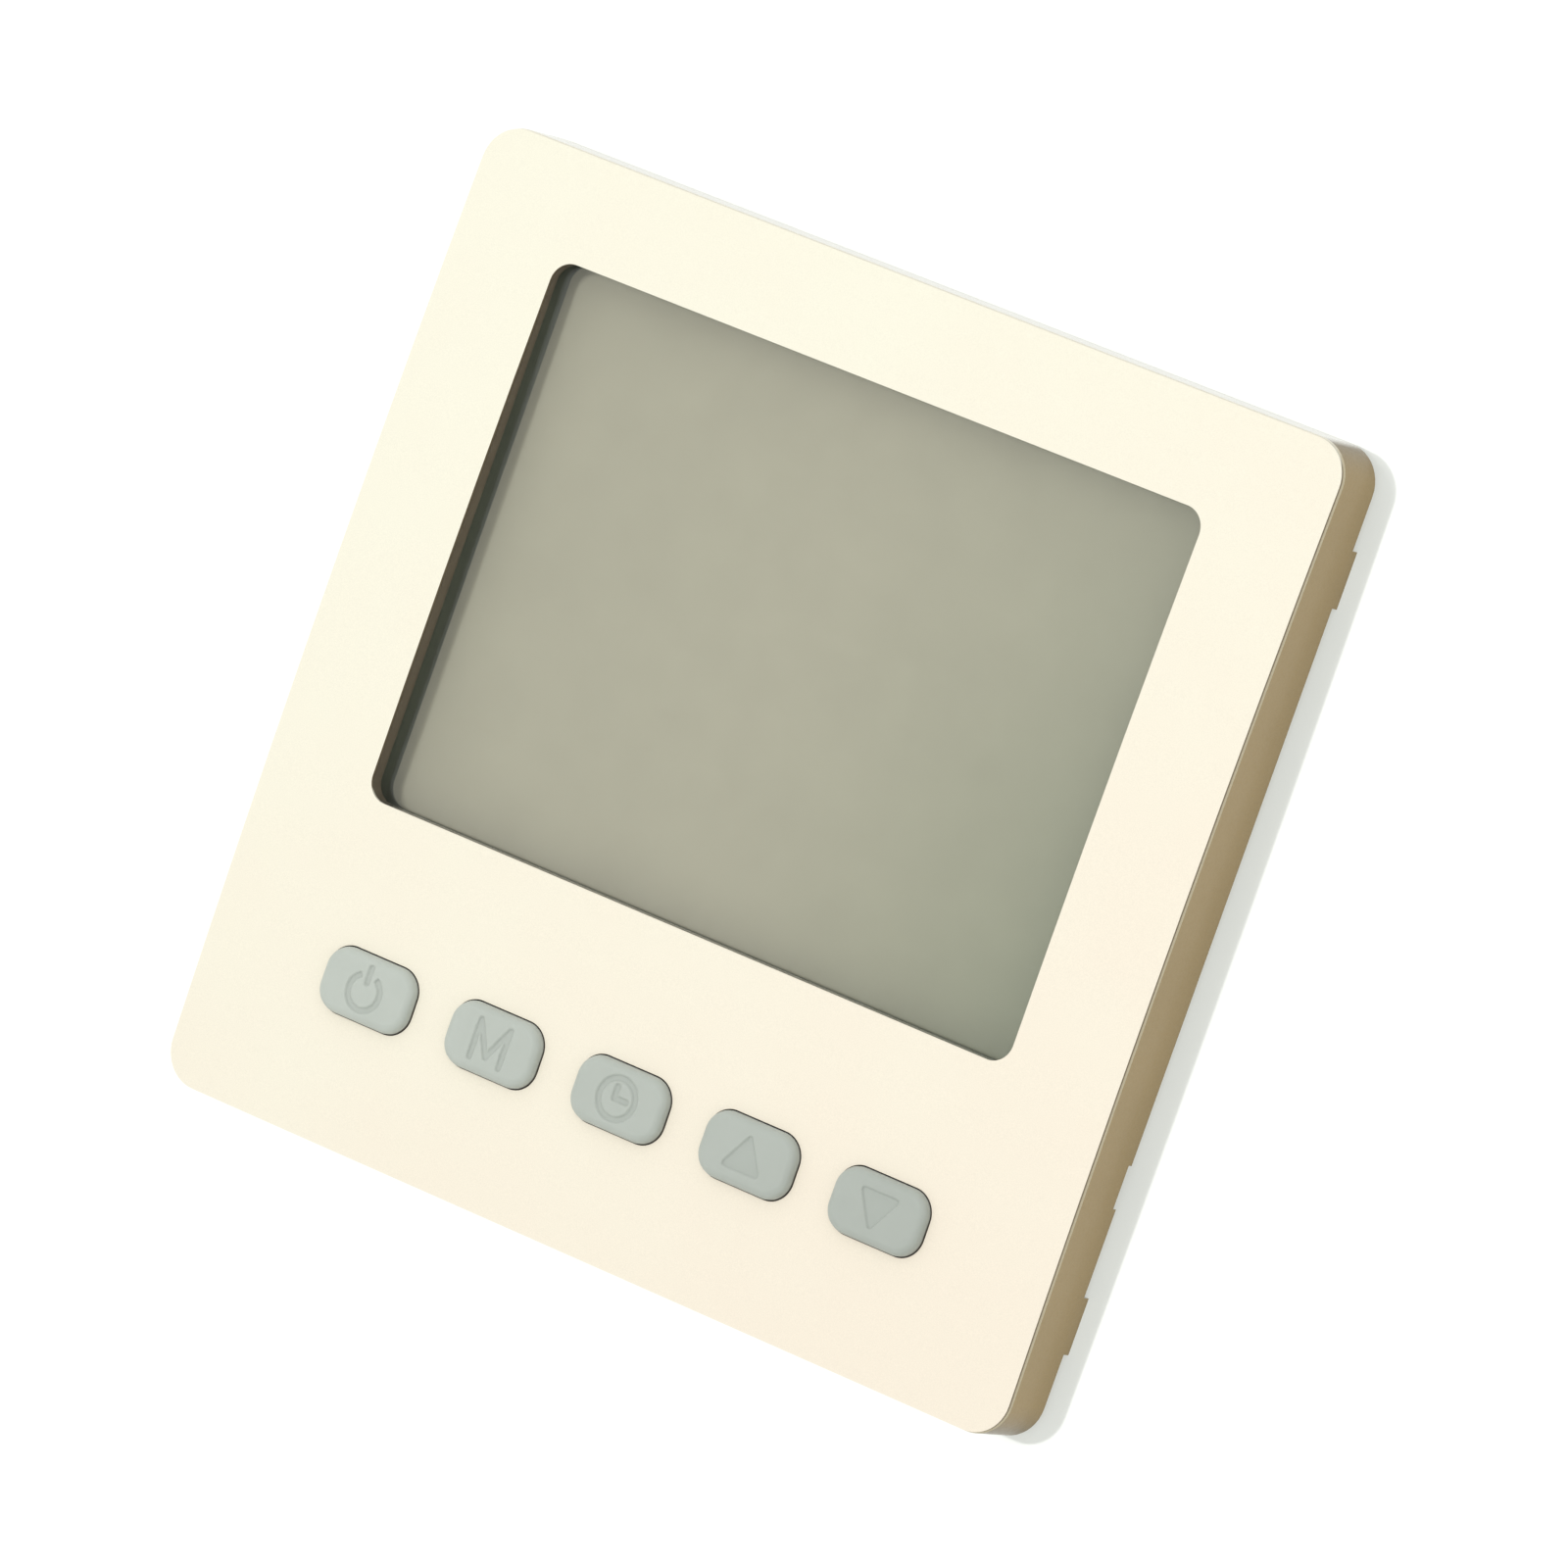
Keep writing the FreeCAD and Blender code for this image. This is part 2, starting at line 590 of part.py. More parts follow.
disc = rod((11.0, -5.0, down(5.6)), (11.0, -0.8, down(5.6)), 4.5)
leads = [block(11.0 + s * 2.5, -2.9, 0.7, 0.7, down(3.0), down(0)) for s in (-1, 1)]
save("varistor", fuse_all([disc] + leads))

barrel = rod((7.5, -11.5, down(2.6)), (15.5, -11.5, down(2.6)), 1.8)
fuse_caps = [rod((x, -11.5, down(2.6)), (x + 2.2, -11.5, down(2.6)), 2.0) for x in (6.2, 14.6)]
fuse_legs = [block(x, -11.5, 0.8, 0.8, down(2.0), down(0)) for x in (7.3, 15.7)]
save("fuse", fuse_all([barrel] + fuse_caps + fuse_legs))

mains_parts = [cyl(-14.0, -9.5, 3.2, down(7.5), down(0)),
               block(-7.0, -6.0, 5.0, 6.5, down(2.6), down(0)),
               block(-7.0, -13.0, 4.6, 4.0, down(1.6), down(0)),
               block(5.0, 0.5, 6.5, 3.6, down(1.8), down(0))]
for i in range(6):
    mains_parts.append(block(-17.0 + 2.6 * i, -15.0, 1.2, 0.9, down(0.6), down(0)))
    mains_parts.append(block(-12.0 + 4.5 * i, -10.0, 2.0, 1.25, power_board_z,
                             power_board_z + 0.6))
    mains_parts.append(block(-12.0 + 4.5 * i, 4.0, 2.0, 1.25, power_board_z,
                             power_board_z + 0.6))
save("power_board_parts", Part.makeCompound(mains_parts))

# ---- terminal block ------------------------------------------------------------------------
body = box(-block_half_x, block_half_x, block_y0, block_y1, down(block_height), down(0))
body_cuts = []
for x in way_x:
    body_cuts.append(block(x, cage_y, cage_width + 0.2, cage_depth + 0.4, down(ledge_low),
                           down(cage_rest - 0.1)))
    body_cuts.append(box(x - 2.0, x + 2.0, block_y0 - 1, cage_y, down(bar_low + 0.1),
                         down(cage_rest + 0.6)))
    body_cuts.append(box(x - 1.3, x + 1.3, cage_y, contact_y + 0.5, down(bar_high), down(-1)))
    body_cuts.append(cyl(x, cage_y, screw_shank_r + 0.1, down(ledge_high + 1), down(ledge_low - 1)))
    body_cuts.append(cyl(x, cage_y, screw_head_r + 0.3, down(block_height + 1), down(ledge_high)))
for i in range(ways + 1):
    body_cuts.append(block(-block_half_x + i * way_pitch, block_y0, 0.8, 1.6,
                           down(block_height + 1), down(1.5)))
save("terminal_block", body.cut(body_cuts))

contacts = []
for x in way_x:
    bar = box(x - 1.2, x + 1.2, cage_y - 2.6, contact_y + 0.4, down(bar_high), down(bar_low))
    leg = box(x - 0.55, x + 0.55, contact_y - 0.35, contact_y + 0.35, down(bar_high), down(-3.0))
    contacts.append(fuse_all([bar, leg]))
save("terminal_contacts", Part.makeCompound(contacts))

for i, x in enumerate(way_x):
    cage = block(x, cage_y, cage_width, cage_depth, down(cage_rest + cage_height),
                 down(cage_rest))
    throat = block(x, cage_y, cage_width - 2 * cage_wall, 20,
                   down(cage_rest + cage_height - cage_wall), down(cage_rest + cage_wall))
    thread = cyl(x, cage_y, screw_shank_r + thread_clearance, down(cage_rest + cage_height + 1),
                 down(cage_rest + cage_height - cage_wall - 0.2))
    save("terminal_cage_%d" % (i + 1), cage.cut([throat, thread]))
    shank = cyl(x, cage_y, screw_shank_r, down(ledge_high + 0.5), down(bar_high + 0.1))
    head = cyl(x, cage_y, screw_head_r, down(ledge_high + head_height), down(ledge_high))
    drive = fuse_all([block(x, cage_y, 3.6, 0.6, down(ledge_high + 4),
                            down(ledge_high + head_height - 0.8)),
                      block(x, cage_y, 0.6, 2.4, down(ledge_high + 4),
                            down(ledge_high + head_height - 0.8))])
    save("terminal_screw_%d" % (i + 1), fuse_all([shank, head]).cut(drive))
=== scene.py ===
import math

import bmesh
import bpy
from mathutils import Matrix, Vector


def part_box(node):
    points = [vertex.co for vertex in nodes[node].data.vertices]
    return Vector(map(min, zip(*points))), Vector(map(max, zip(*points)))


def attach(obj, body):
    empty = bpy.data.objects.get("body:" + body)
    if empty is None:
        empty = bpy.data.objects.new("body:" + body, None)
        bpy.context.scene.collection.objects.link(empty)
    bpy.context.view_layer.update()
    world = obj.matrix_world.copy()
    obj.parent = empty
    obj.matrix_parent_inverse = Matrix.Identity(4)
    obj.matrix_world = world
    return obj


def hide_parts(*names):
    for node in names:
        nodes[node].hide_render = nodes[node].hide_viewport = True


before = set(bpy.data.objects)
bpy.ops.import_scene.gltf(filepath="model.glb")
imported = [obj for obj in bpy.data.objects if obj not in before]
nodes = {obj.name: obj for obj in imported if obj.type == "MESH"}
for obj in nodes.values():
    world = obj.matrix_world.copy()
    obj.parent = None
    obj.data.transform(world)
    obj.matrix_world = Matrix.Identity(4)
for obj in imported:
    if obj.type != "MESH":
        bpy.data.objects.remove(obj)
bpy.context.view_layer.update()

MM = 0.001

# ---- sizes that the materials use ----------------------------------------------
half_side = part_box("front_shell")[1].x
painted_skin = 1.2 * MM          # only this much of the shell from its outside is painted
display_low, display_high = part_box("lcd_front_polariser")
clear_half_x = 32.6 * MM         # clear area inside the dark border on the display film
clear_half_z = 24.17 * MM
clear_middle_z = 9.9 * MM
clear_corner = 1.9 * MM
track_pitch = 0.9 * MM
track_share = 0.3                # copper's share of the pitch
track_block = 5.4 * MM           # tracks keep one direction over a square of this side
via_spacing = 4.5 * MM
via_share = 0.09                 # a via's radius as a share of the spacing
fuse_low, fuse_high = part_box("fuse")
fuse_cap = 2.2 * MM              # length of each metal end


# ---- node helpers --------------------------------------------------------------
def new_material(name):
    mat = bpy.data.materials.new(name)
    mat.use_nodes = True
    mat.node_tree.nodes.clear()
    return mat, mat.node_tree


def surface(mat, shader):
    """Give the material its shader and hand it back."""
    out = mat.node_tree.nodes.new("ShaderNodeOutputMaterial")
    mat.node_tree.links.new(shader.outputs[0], out.inputs["Surface"])
    return mat


def feed(tree, socket, value):
    """Link an output to the socket, or set the socket's own value."""
    if isinstance(value, bpy.types.NodeSocket):
        tree.links.new(value, socket)
    elif socket.type == "RGBA":
        socket.default_value = (*value, 1.0)
    else:
        socket.default_value = value


def add(tree, kind, **values):
    """New node; values are input names with _ for a space, or node settings."""
    node = tree.nodes.new("ShaderNode" + kind)
    for key, value in values.items():
        label = key.replace("_", " ")
        if label in node.inputs:
            feed(tree, node.inputs[label], value)
        else:
            setattr(node, key, value)
    return node


def math_node(tree, operation, a, b=0.0):
    node = add(tree, "Math", operation=operation)
    for socket, value in zip(node.inputs, (a, b)):
        feed(tree, socket, value)
    return node.outputs[0]


def noise(tree, size, detail=3.0, stretch=(1, 1, 1), rough=0.5):
    """Noise whose features are about size metres across."""
    coords = add(tree, "TexCoord").outputs["Object"]
    placed = add(tree, "Mapping", Vector=coords, Scale=stretch).outputs["Vector"]
    return add(tree, "TexNoise", Vector=placed, Scale=1.0 / size, Detail=detail,
               Roughness=rough).outputs["Fac"]


def ramp(tree, fac, low, high, a, b):
    """Map fac from low..high to a..b."""
    return add(tree, "MapRange", Value=fac, From_Min=low, From_Max=high, To_Min=a,
               To_Max=b).outputs["Result"]


def spread(tree, texture, a, b):
    """Map the range that most of a noise texture lies in to a..b."""
    return ramp(tree, texture, 0.3, 0.7, a, b)


def clouds(tree, size, a=0.0, b=1.0):
    """Broad patches of a and b that pass into each other."""
    return ramp(tree, noise(tree, size), 0.35, 0.65, a, b)


def blend_colours(tree, fac, a, b):
    """Colour a where fac is 0 and b where it is 1."""
    node = add(tree, "Mix", data_type="RGBA")
    sockets = [node.inputs[0]] + [s for s in node.inputs if s.type == "RGBA"]
    for socket, value in zip(sockets, (fac, a, b)):
        feed(tree, socket, value)
    return [s for s in node.outputs if s.type == "RGBA"][0]


def times(tree, colour, factor):
    """Colour made darker or lighter by a factor."""
    node = add(tree, "VectorMath", operation="SCALE", Scale=factor)
    feed(tree, node.inputs[0], colour)
    return node.outputs[0]


def mix_shaders(tree, fac, a, b):
    node = add(tree, "MixShader", Fac=fac)
    tree.links.new(a.outputs[0], node.inputs[1])
    tree.links.new(b.outputs[0], node.inputs[2])
    return node


def bump(tree, height, depth, normal=None):
    """Bump whose full height is depth metres."""
    node = add(tree, "Bump", Height=height, Distance=depth, Strength=1.0)
    if normal is not None:
        feed(tree, node.inputs["Normal"], normal)
    return node.outputs["Normal"]


def soft_edges(tree, radius):
    """Normal that rounds sharp edges."""
    return add(tree, "Bevel", samples=4, Radius=radius).outputs["Normal"]


def position(tree):
    """Outputs X, Y and Z of the point's place in the frame."""
    return add(tree, "SeparateXYZ", Vector=add(tree, "TexCoord").outputs["Object"]).outputs


def normal_part(tree, axis):
    """One coordinate of the way the surface faces."""
    normal = add(tree, "NewGeometry").outputs["Normal"]
    return add(tree, "SeparateXYZ", Vector=normal).outputs[axis]


def facing(tree):
    """How squarely the surface faces front or back, 0 to 1."""
    return math_node(tree, "ABSOLUTE", normal_part(tree, "Y"))


def between(tree, value, low, high):
    """1 where value lies between low and high, else 0."""
    return math_node(tree, "MULTIPLY", math_node(tree, "GREATER_THAN", value, low),
                     math_node(tree, "LESS_THAN", value, high))


def lit_from_above(tree, clean):
    """Colour with a painted highlight on the narrow edges that face up, as if lit from above."""
    # painted highlight colour for edges that face up
    top_light_colour = (0.68, 0.65, 0.57)
    facing_up = ramp(tree, normal_part(tree, "Z"), 0.5, 0.7, 0.0, 0.8)
    return blend_colours(tree, facing_up, clean, top_light_colour)


# ---- material families -----------------------------------------------------------
def plastic(name, colour, rough=0.5, grain=0.12 * MM, depth=0.004 * MM, change=0.08, edge=0.12 * MM):
    """Moulded plastic: spark-eroded grain, slight colour drift, softened edges."""
    mat, tree = new_material(name)
    drift = spread(tree, noise(tree, 9 * MM, detail=2.0), 1.0 - change, 1.0 + change)
    speckle = spread(tree, noise(tree, grain, detail=2.0), 1.0 - change / 2, 1.0 + change / 2)
    shader = add(tree, "BsdfPrincipled",
                 Base_Color=times(tree, colour, math_node(tree, "MULTIPLY", drift, speckle)),
                 Roughness=spread(tree, noise(tree, 3 * MM), rough - 0.05, rough + 0.06),
                 Normal=bump(tree, noise(tree, grain), depth, soft_edges(tree, edge)))
    return surface(mat, shader)


def plated(name, colour, rough=0.32, stretch=(1, 1, 14), size=0.5 * MM, spots=0.1):
    """Zinc or tin plated metal with drawn or rolled streaks and cloudy patches."""
    mat, tree = new_material(name)
    streak = noise(tree, size, detail=4.0, stretch=stretch)
    patch = noise(tree, 4 * MM, detail=4.0, rough=0.65)
    shade = math_node(tree, "MULTIPLY", spread(tree, streak, 0.93, 1.05),
                      spread(tree, patch, 1.0 - spots, 1.0))
    shader = add(tree, "BsdfPrincipled", Base_Color=times(tree, colour, shade), Metallic=1.0,
                 Roughness=spread(tree, patch, rough - 0.07, rough + 0.1),
                 Normal=bump(tree, streak, 0.003 * MM, soft_edges(tree, 0.1 * MM)))
    return surface(mat, shader)


def clear_layer(name, tint, edge_tint, gloss):
    """Clear glass or film: light goes straight through, tinted and mirrored where it enters."""
    mat, tree = new_material(name)
    leaving = add(tree, "NewGeometry").outputs["Backfacing"]
    entering = math_node(tree, "SUBTRACT", 1.0, leaving)
    flat = ramp(tree, facing(tree), 0.4, 0.8, 0.0, 1.0)
    haze = spread(tree, noise(tree, 6 * MM), 0.985, 1.0)
    body = times(tree, blend_colours(tree, flat, edge_tint, tint), haze)
    through = add(tree, "BsdfTransparent",
                  Color=blend_colours(tree, leaving, body, (1.0, 1.0, 1.0)))
    mirror = add(tree, "BsdfGlossy",
                 Roughness=spread(tree, noise(tree, 2 * MM), 0.7 * gloss, 1.3 * gloss))
    shine = math_node(tree, "MULTIPLY", add(tree, "Fresnel", IOR=1.45).outputs[0], entering)
    return surface(mat, mix_shaders(tree, shine, through, mirror))


def circuit_board(name, mask, track):
    """Solder mask over copper: runs of parallel tracks in changing directions, and tinned vias."""
    tin = (0.6, 0.6, 0.58)
    mat, tree = new_material(name)
    place = position(tree)
    plane = add(tree, "CombineXYZ", X=place["X"], Y=place["Z"], Z=0.0).outputs[0]
    block = add(tree, "VectorMath", operation="SNAP")
    feed(tree, block.inputs[0], plane)
    feed(tree, block.inputs[1], (track_block, track_block, 1.0))
    chance = add(tree, "TexWhiteNoise", Vector=block.outputs[0]).outputs["Value"]
    lanes = []
    for axis in ("X", "Z"):
        across = math_node(tree, "FRACT", math_node(tree, "DIVIDE", place[axis], track_pitch))
        lanes.append(math_node(tree, "LESS_THAN", across, track_share))
    # a third of the blocks has upright tracks, a third level ones, and a third none
    upright = math_node(tree, "MULTIPLY", lanes[0], math_node(tree, "LESS_THAN", chance, 0.33))
    level = math_node(tree, "MULTIPLY", lanes[1], math_node(tree, "GREATER_THAN", chance, 0.67))
    tracks = math_node(tree, "ADD", upright, level)
    spots = add(tree, "TexVoronoi", Vector=plane, Scale=1.0 / via_spacing).outputs["Distance"]
    via = math_node(tree, "LESS_THAN", spots, via_share)
    fibre = noise(tree, 0.4 * MM, detail=2.0, stretch=(1, 1, 0.2))
    woven = times(tree, blend_colours(tree, tracks, mask, track), spread(tree, fibre, 0.92, 1.08))
    shader = add(tree, "BsdfPrincipled", Base_Color=blend_colours(tree, via, woven, tin),
                 Roughness=0.28, Metallic=via,
                 Normal=bump(tree, math_node(tree, "MAXIMUM", tracks, via), 0.03 * MM))
    return surface(mat, shader)


# ---- materials of one piece each ---------------------------------------------------
def cover_sheet():
    """Cream pearl sheet: very fine sparkle, warmer towards the lower right, brown cut edge with a painted
    highlight where it faces up.
    """
    cream, warm_cream, cut_edge = (0.704, 0.671, 0.558), (0.704, 0.63, 0.525), (0.16, 0.125, 0.075)
    mat, tree = new_material("cover_sheet")
    place = position(tree)
    slope = math_node(tree, "SUBTRACT", place["X"], place["Z"])
    warm = ramp(tree, slope, -1.2 * half_side, 1.6 * half_side, 0.0, 1.0)
    warm = math_node(tree, "ADD", warm, clouds(tree, 14 * MM, -0.12, 0.12))
    fleck = noise(tree, 0.09 * MM, detail=2.0)
    face = times(tree, blend_colours(tree, warm, cream, warm_cream),
                 spread(tree, fleck, 0.965, 1.035))
    front = ramp(tree, facing(tree), 0.5, 0.8, 0.0, 1.0)
    # painted highlight: the brown cut edge is made paler where it faces up
    shader = add(tree, "BsdfPrincipled", Metallic=0.08, Specular_IOR_Level=0.35,
                 Base_Color=blend_colours(tree, front, lit_from_above(tree, cut_edge), face),
                 Roughness=spread(tree, noise(tree, 0.25 * MM), 0.5, 0.6),
                 Normal=bump(tree, fleck, 0.0015 * MM))
    return surface(mat, shader)


def shell_finish():
    """Bronze metallic paint outside, darker at a slant, with a painted highlight on the chamfer that is
    paler still where it faces up; bare dark brown plastic inside.
    """
    # the third colour is a painted highlight for the chamfer
    bronze, deep_bronze, chamfer_highlight = (0.297, 0.208, 0.09), (0.282, 0.197, 0.083), (0.5, 0.43, 0.3)
    brown, light_brown = (0.105, 0.083, 0.056), (0.125, 0.1, 0.067)
    mat, tree = new_material("shell_finish")
    place = position(tree)
    reach = math_node(tree, "MAXIMUM", math_node(tree, "ABSOLUTE", place["X"]),
                      math_node(tree, "ABSOLUTE", place["Z"]))
    paint_end = half_side - painted_skin
    painted = ramp(tree, reach, paint_end, paint_end + 0.1 * MM, 0.0, 1.0)
    # painted highlight: the chamfer between front and side gets a lighter colour, paler still where it
    # faces up
    chamfer = between(tree, facing(tree), 0.3, 0.95)
    fleck = noise(tree, 0.11 * MM, detail=2.0)
    paint = blend_colours(tree, clouds(tree, 11 * MM), bronze, deep_bronze)
    paint = times(tree, blend_colours(tree, chamfer, paint, lit_from_above(tree, chamfer_highlight)),
                  spread(tree, fleck, 0.94, 1.06))
    bare = blend_colours(tree, noise(tree, 2 * MM), brown, light_brown)
    turned = add(tree, "LayerWeight", Blend=0.5).outputs["Facing"]
    flop = ramp(tree, turned, 0.55, 0.8, 1.0, 0.5)
    shader = add(tree, "BsdfPrincipled", Specular_IOR_Level=0.3, Coat_Roughness=0.08,
                 Base_Color=times(tree, blend_colours(tree, painted, bare, paint), flop),
                 Metallic=math_node(tree, "MULTIPLY", painted, 0.15),
                 Roughness=spread(tree, noise(tree, 0.3 * MM), 0.34, 0.46),
                 Coat_Weight=ramp(tree, normal_part(tree, "Z"), 0.93, 0.99, 0.2, 1.0),
                 Normal=bump(tree, fleck, 0.002 * MM, soft_edges(tree, 0.08 * MM)))
    return surface(mat, shader)


def past_squared(tree, distance, limit):
    """Square of how far distance goes past limit; 0 inside it."""
    over = math_node(tree, "MAXIMUM", math_node(tree, "SUBTRACT", distance, limit), 0.0)
    return math_node(tree, "MULTIPLY", over, over)


def display_film():
    """Silver-green reflective film behind the liquid crystal, with a dark border that painted light makes
    lighter towards the wall, where the shell shades it.
    """
    silver, green, border_dark = (0.37, 0.337, 0.259), (0.219, 0.233, 0.156), (0.165, 0.175, 0.133)
    mat, tree = new_material("display_film")
    place = position(tree)
    turn_start = display_low.x + 0.45 * (display_high.x - display_low.x)
    right = ramp(tree, place["X"], turn_start, display_high.x, 0.0, 1.0)
    down = ramp(tree, place["Z"], display_high.z, display_low.z, 0.25, 1.0)
    turn = math_node(tree, "MULTIPLY", math_node(tree, "POWER", right, 1.5), down)
    turn = math_node(tree, "ADD", turn, clouds(tree, 12 * MM, -0.02, 0.02))
    aside = math_node(tree, "ABSOLUTE", place["X"])
    above = math_node(tree, "ABSOLUTE", math_node(tree, "SUBTRACT", place["Z"], clear_middle_z))
    beyond = math_node(tree, "ADD", past_squared(tree, aside, clear_half_x - clear_corner),
                       past_squared(tree, above, clear_half_z - clear_corner))
    border = ramp(tree, math_node(tree, "SQRT", beyond), clear_corner - 0.05 * MM,
                  clear_corner + 0.08 * MM, 0.0, 1.0)
    # painted light: the border grows lighter towards the wall, where the shell shades it
    painted_border_light = ramp(tree, aside, clear_half_x, clear_half_x + 1.4 * MM, 0.62, 1.5)
    colour = blend_colours(tree, border, blend_colours(tree, turn, silver, green),
                           times(tree, border_dark, painted_border_light))
    shader = add(tree, "BsdfPrincipled", Base_Color=colour, Roughness=0.55,
                 Normal=bump(tree, noise(tree, 0.06 * MM, detail=2.0), 0.001 * MM))
    return surface(mat, shader)


def silicone():
    """Grey silicone: soft light under the surface, satin skin with a soft, dull sheen, darker in the
    symbols, with painted shade towards the right and where the cap sits inside the shell.
    """
    grey, light_grey, mark_grey = (0.39, 0.415, 0.375), (0.405, 0.43, 0.39), (0.312, 0.335, 0.303)
    shade_brown = (0.12, 0.1, 0.075)         # painted shade for the part of the cap inside the shell, which shades it
    mat, tree = new_material("silicone")
    patch = noise(tree, 2.5 * MM)
    skin = blend_colours(tree, ramp(tree, patch, 0.35, 0.65, 0.0, 1.0), grey, light_grey)
    # painted shade: the keys grow darker towards the right, away from the light
    painted_falloff = ramp(tree, position(tree)["X"], -0.6 * half_side, 0.6 * half_side, 1.0, 0.84)
    symbol = add(tree, "Attribute", attribute_name="symbol").outputs["Fac"]
    marked = blend_colours(tree, math_node(tree, "MULTIPLY", symbol, 0.4), times(tree, skin, painted_falloff),
                           mark_grey)
    # painted shade mask: where the cap sits inside the shell
    painted_gap_shade = add(tree, "Attribute", attribute_name="painted_gap_shade").outputs["Fac"]
    shader = add(tree, "BsdfPrincipled", Base_Color=blend_colours(tree, painted_gap_shade, marked, shade_brown),
                 Roughness=spread(tree, patch, 0.5, 0.6), Specular_IOR_Level=0.35,
                 Subsurface_Weight=0.2, Subsurface_Radius=(1.0, 1.0, 0.9),
                 Subsurface_Scale=0.4 * MM, Sheen_Weight=0.1,
                 Normal=bump(tree, noise(tree, 0.07 * MM), 0.002 * MM))
    return surface(mat, shader)


def fuse_finish():
    """Ceramic tube with a bright metal cap at each end."""
    ceramic, cap_metal = (0.72, 0.69, 0.6), (0.75, 0.74, 0.7)
    mat, tree = new_material("fuse_body")
    tube = between(tree, position(tree)["X"], fuse_low.x + fuse_cap, fuse_high.x - fuse_cap)
    grain = spread(tree, noise(tree, 0.3 * MM), 0.93, 1.05)
    shader = add(tree, "BsdfPrincipled", Normal=soft_edges(tree, 0.1 * MM),
                 Base_Color=times(tree, blend_colours(tree, tube, cap_metal, ceramic), grain),
                 Metallic=math_node(tree, "SUBTRACT", 1.0, tube),
                 Roughness=spread(tree, noise(tree, 2 * MM), 0.3, 0.45))
    return surface(mat, shader)


def winding():
    """Taped copper winding in a ferrite core: fine turns show along the coil."""
    shadow_copper, bright_copper = (0.45, 0.2, 0.05), (0.72, 0.42, 0.14)
    bands = 400.0                            # gives a turn about every 0.8 mm
    mat, tree = new_material("winding")
    coords = add(tree, "TexCoord").outputs["Object"]
    turns = add(tree, "TexWave", Vector=coords, Scale=bands, bands_direction="Y",
                Distortion=0.4, Detail=1.0).outputs["Fac"]
    shader = add(tree, "BsdfPrincipled", Metallic=0.4, Roughness=0.4,
                 Base_Color=blend_colours(tree, turns, shadow_copper, bright_copper),
                 Normal=bump(tree, turns, 0.05 * MM, soft_edges(tree, 0.15 * MM)))
    return surface(mat, shader)


# ---- which piece has which finish --------------------------------------------------
black = plastic("black_plastic", (0.022, 0.022, 0.024))
green_board = circuit_board("solder_mask", mask=(0.008, 0.085, 0.03), track=(0.03, 0.2, 0.07))
screw_zinc = plated("screw_zinc", (0.72, 0.72, 0.71), rough=0.3, stretch=(1, 1, 1), size=0.3 * MM)
cage_zinc = plated("clamp_zinc", (0.72, 0.7, 0.62), rough=0.34)
carbon = plastic("carbon_rubber", (0.015, 0.015, 0.016), rough=0.65)
grey_silicone = silicone()
clear_glass = clear_layer("display_glass", (0.975, 0.985, 0.975), (0.35, 0.5, 0.42), gloss=0.05)

finishes = {
    "front_panel": cover_sheet(),
    "panel_adhesive": plastic("tape", (0.62, 0.6, 0.52), rough=0.35),
    "front_shell": shell_finish(),
    "lcd_front_polariser": clear_layer("polariser", (0.90, 0.91, 0.87), (0.2, 0.21, 0.18), gloss=0.07),
    "lcd_front_glass": clear_glass,
    "lcd_rear_glass": clear_glass,
    "lcd_rear_polariser": display_film(),
    "backlight_guide": clear_layer("acrylic", (0.97, 0.98, 0.98), (0.75, 0.82, 0.82), gloss=0.08),
    "backlight_reflector": plastic("white_film", (0.85, 0.85, 0.84), rough=0.4, change=0.02),
    "backlight_leds": plastic("led_body", (0.8, 0.72, 0.25), rough=0.3),
    "lcd_holder": black,
    "zebra_strip": plastic("zebra_rubber", (0.5, 0.5, 0.55), rough=0.6),
    "display_board": green_board,
    "display_board_screws": screw_zinc,
    "controller_chip": plastic("chip_epoxy", (0.03, 0.03, 0.032), rough=0.55),
    "display_board_parts": plastic("small_parts", (0.22, 0.16, 0.1), rough=0.45, change=0.3),
    "clock_crystal": plated("crystal_can", (0.7, 0.7, 0.7), rough=0.25, stretch=(14, 1, 1)),
    "backup_cell": plated("cell_steel", (0.74, 0.74, 0.75), rough=0.22, stretch=(1, 1, 1),
                          size=0.8 * MM),
    "cell_holder": black,
    "room_sensor": plastic("sensor_bead", (0.03, 0.02, 0.015), rough=0.35),
    "link_pin_block": black,
    "link_pins": plated("gold_pins", (0.83, 0.62, 0.25), rough=0.25, stretch=(1, 14, 1)),
    "keypad_mat": grey_silicone,
    "mounting_plate": plated("rolled_zinc", (0.66, 0.67, 0.68), rough=0.34, stretch=(1, 1, 0.06),
                             size=0.4 * MM, spots=0.16),
    "plate_screws": screw_zinc,
    "rear_housing": plastic("rear_box", (0.70, 0.685, 0.64), grain=0.16 * MM, depth=0.008 * MM,
                            change=0.03, edge=0.2 * MM),
    "power_board": green_board,
    "power_board_screws": screw_zinc,
    "link_socket": black,
    "relay": plastic("relay_case", (0.012, 0.05, 0.2), rough=0.3),
    "transformer": winding(),
    "mains_capacitor": plastic("capacitor_box", (0.7, 0.45, 0.05), rough=0.3),
    "smoothing_capacitor": plastic("capacitor_sleeve", (0.015, 0.02, 0.09), rough=0.3),
    "varistor": plastic("varistor_epoxy", (0.03, 0.13, 0.4), rough=0.35, grain=0.4 * MM,
                        depth=0.02 * MM),
    "fuse": fuse_finish(),
    "power_board_parts": plastic("mains_parts", (0.12, 0.1, 0.09), rough=0.45, change=0.4),
    "terminal_block": plastic("terminal_polyamide", (0.02, 0.14, 0.055), rough=0.42),
    "terminal_contacts": plated("tinned_brass", (0.78, 0.72, 0.6), rough=0.3),
}
